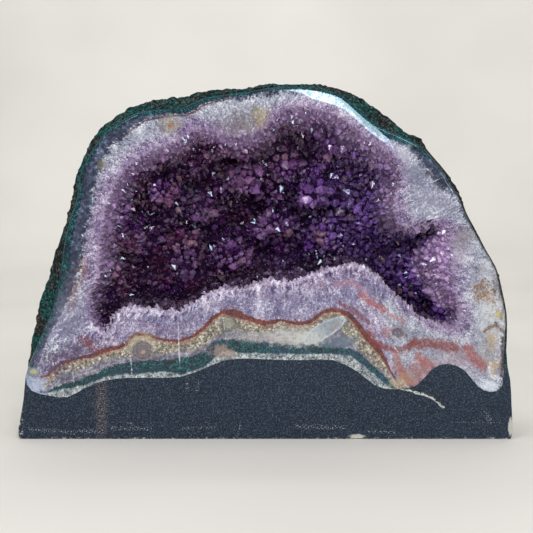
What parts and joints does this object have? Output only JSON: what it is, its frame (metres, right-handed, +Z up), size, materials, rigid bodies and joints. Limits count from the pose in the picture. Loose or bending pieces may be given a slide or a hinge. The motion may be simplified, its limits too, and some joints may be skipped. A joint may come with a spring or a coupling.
{
  "type": "amethyst cathedral",
  "caption": "Sawn and polished half of an amethyst geode, a crystal-lined hollow in banded agate and dark rock, standing on a flat base.",
  "frame": {"origin": "on the flat base, under the middle of the whole box", "axes": "+Z up, +X to the right of someone who looks into the hollow, +Y away from them; the polished front faces -Y"},
  "size_m": [0.3846, 0.165, 0.2762],
  "materials": {
    "basalt": "sawn and honed in front and below, rough behind",
    "agate": "ground and polished",
    "amethyst": "natural crystal faces, glassy"
  },
  "bodies": {
    "root": {"basalt_matrix": "basalt", "agate_rind": "agate", "amethyst_crust": "amethyst"}
  },
  "joints": []
}
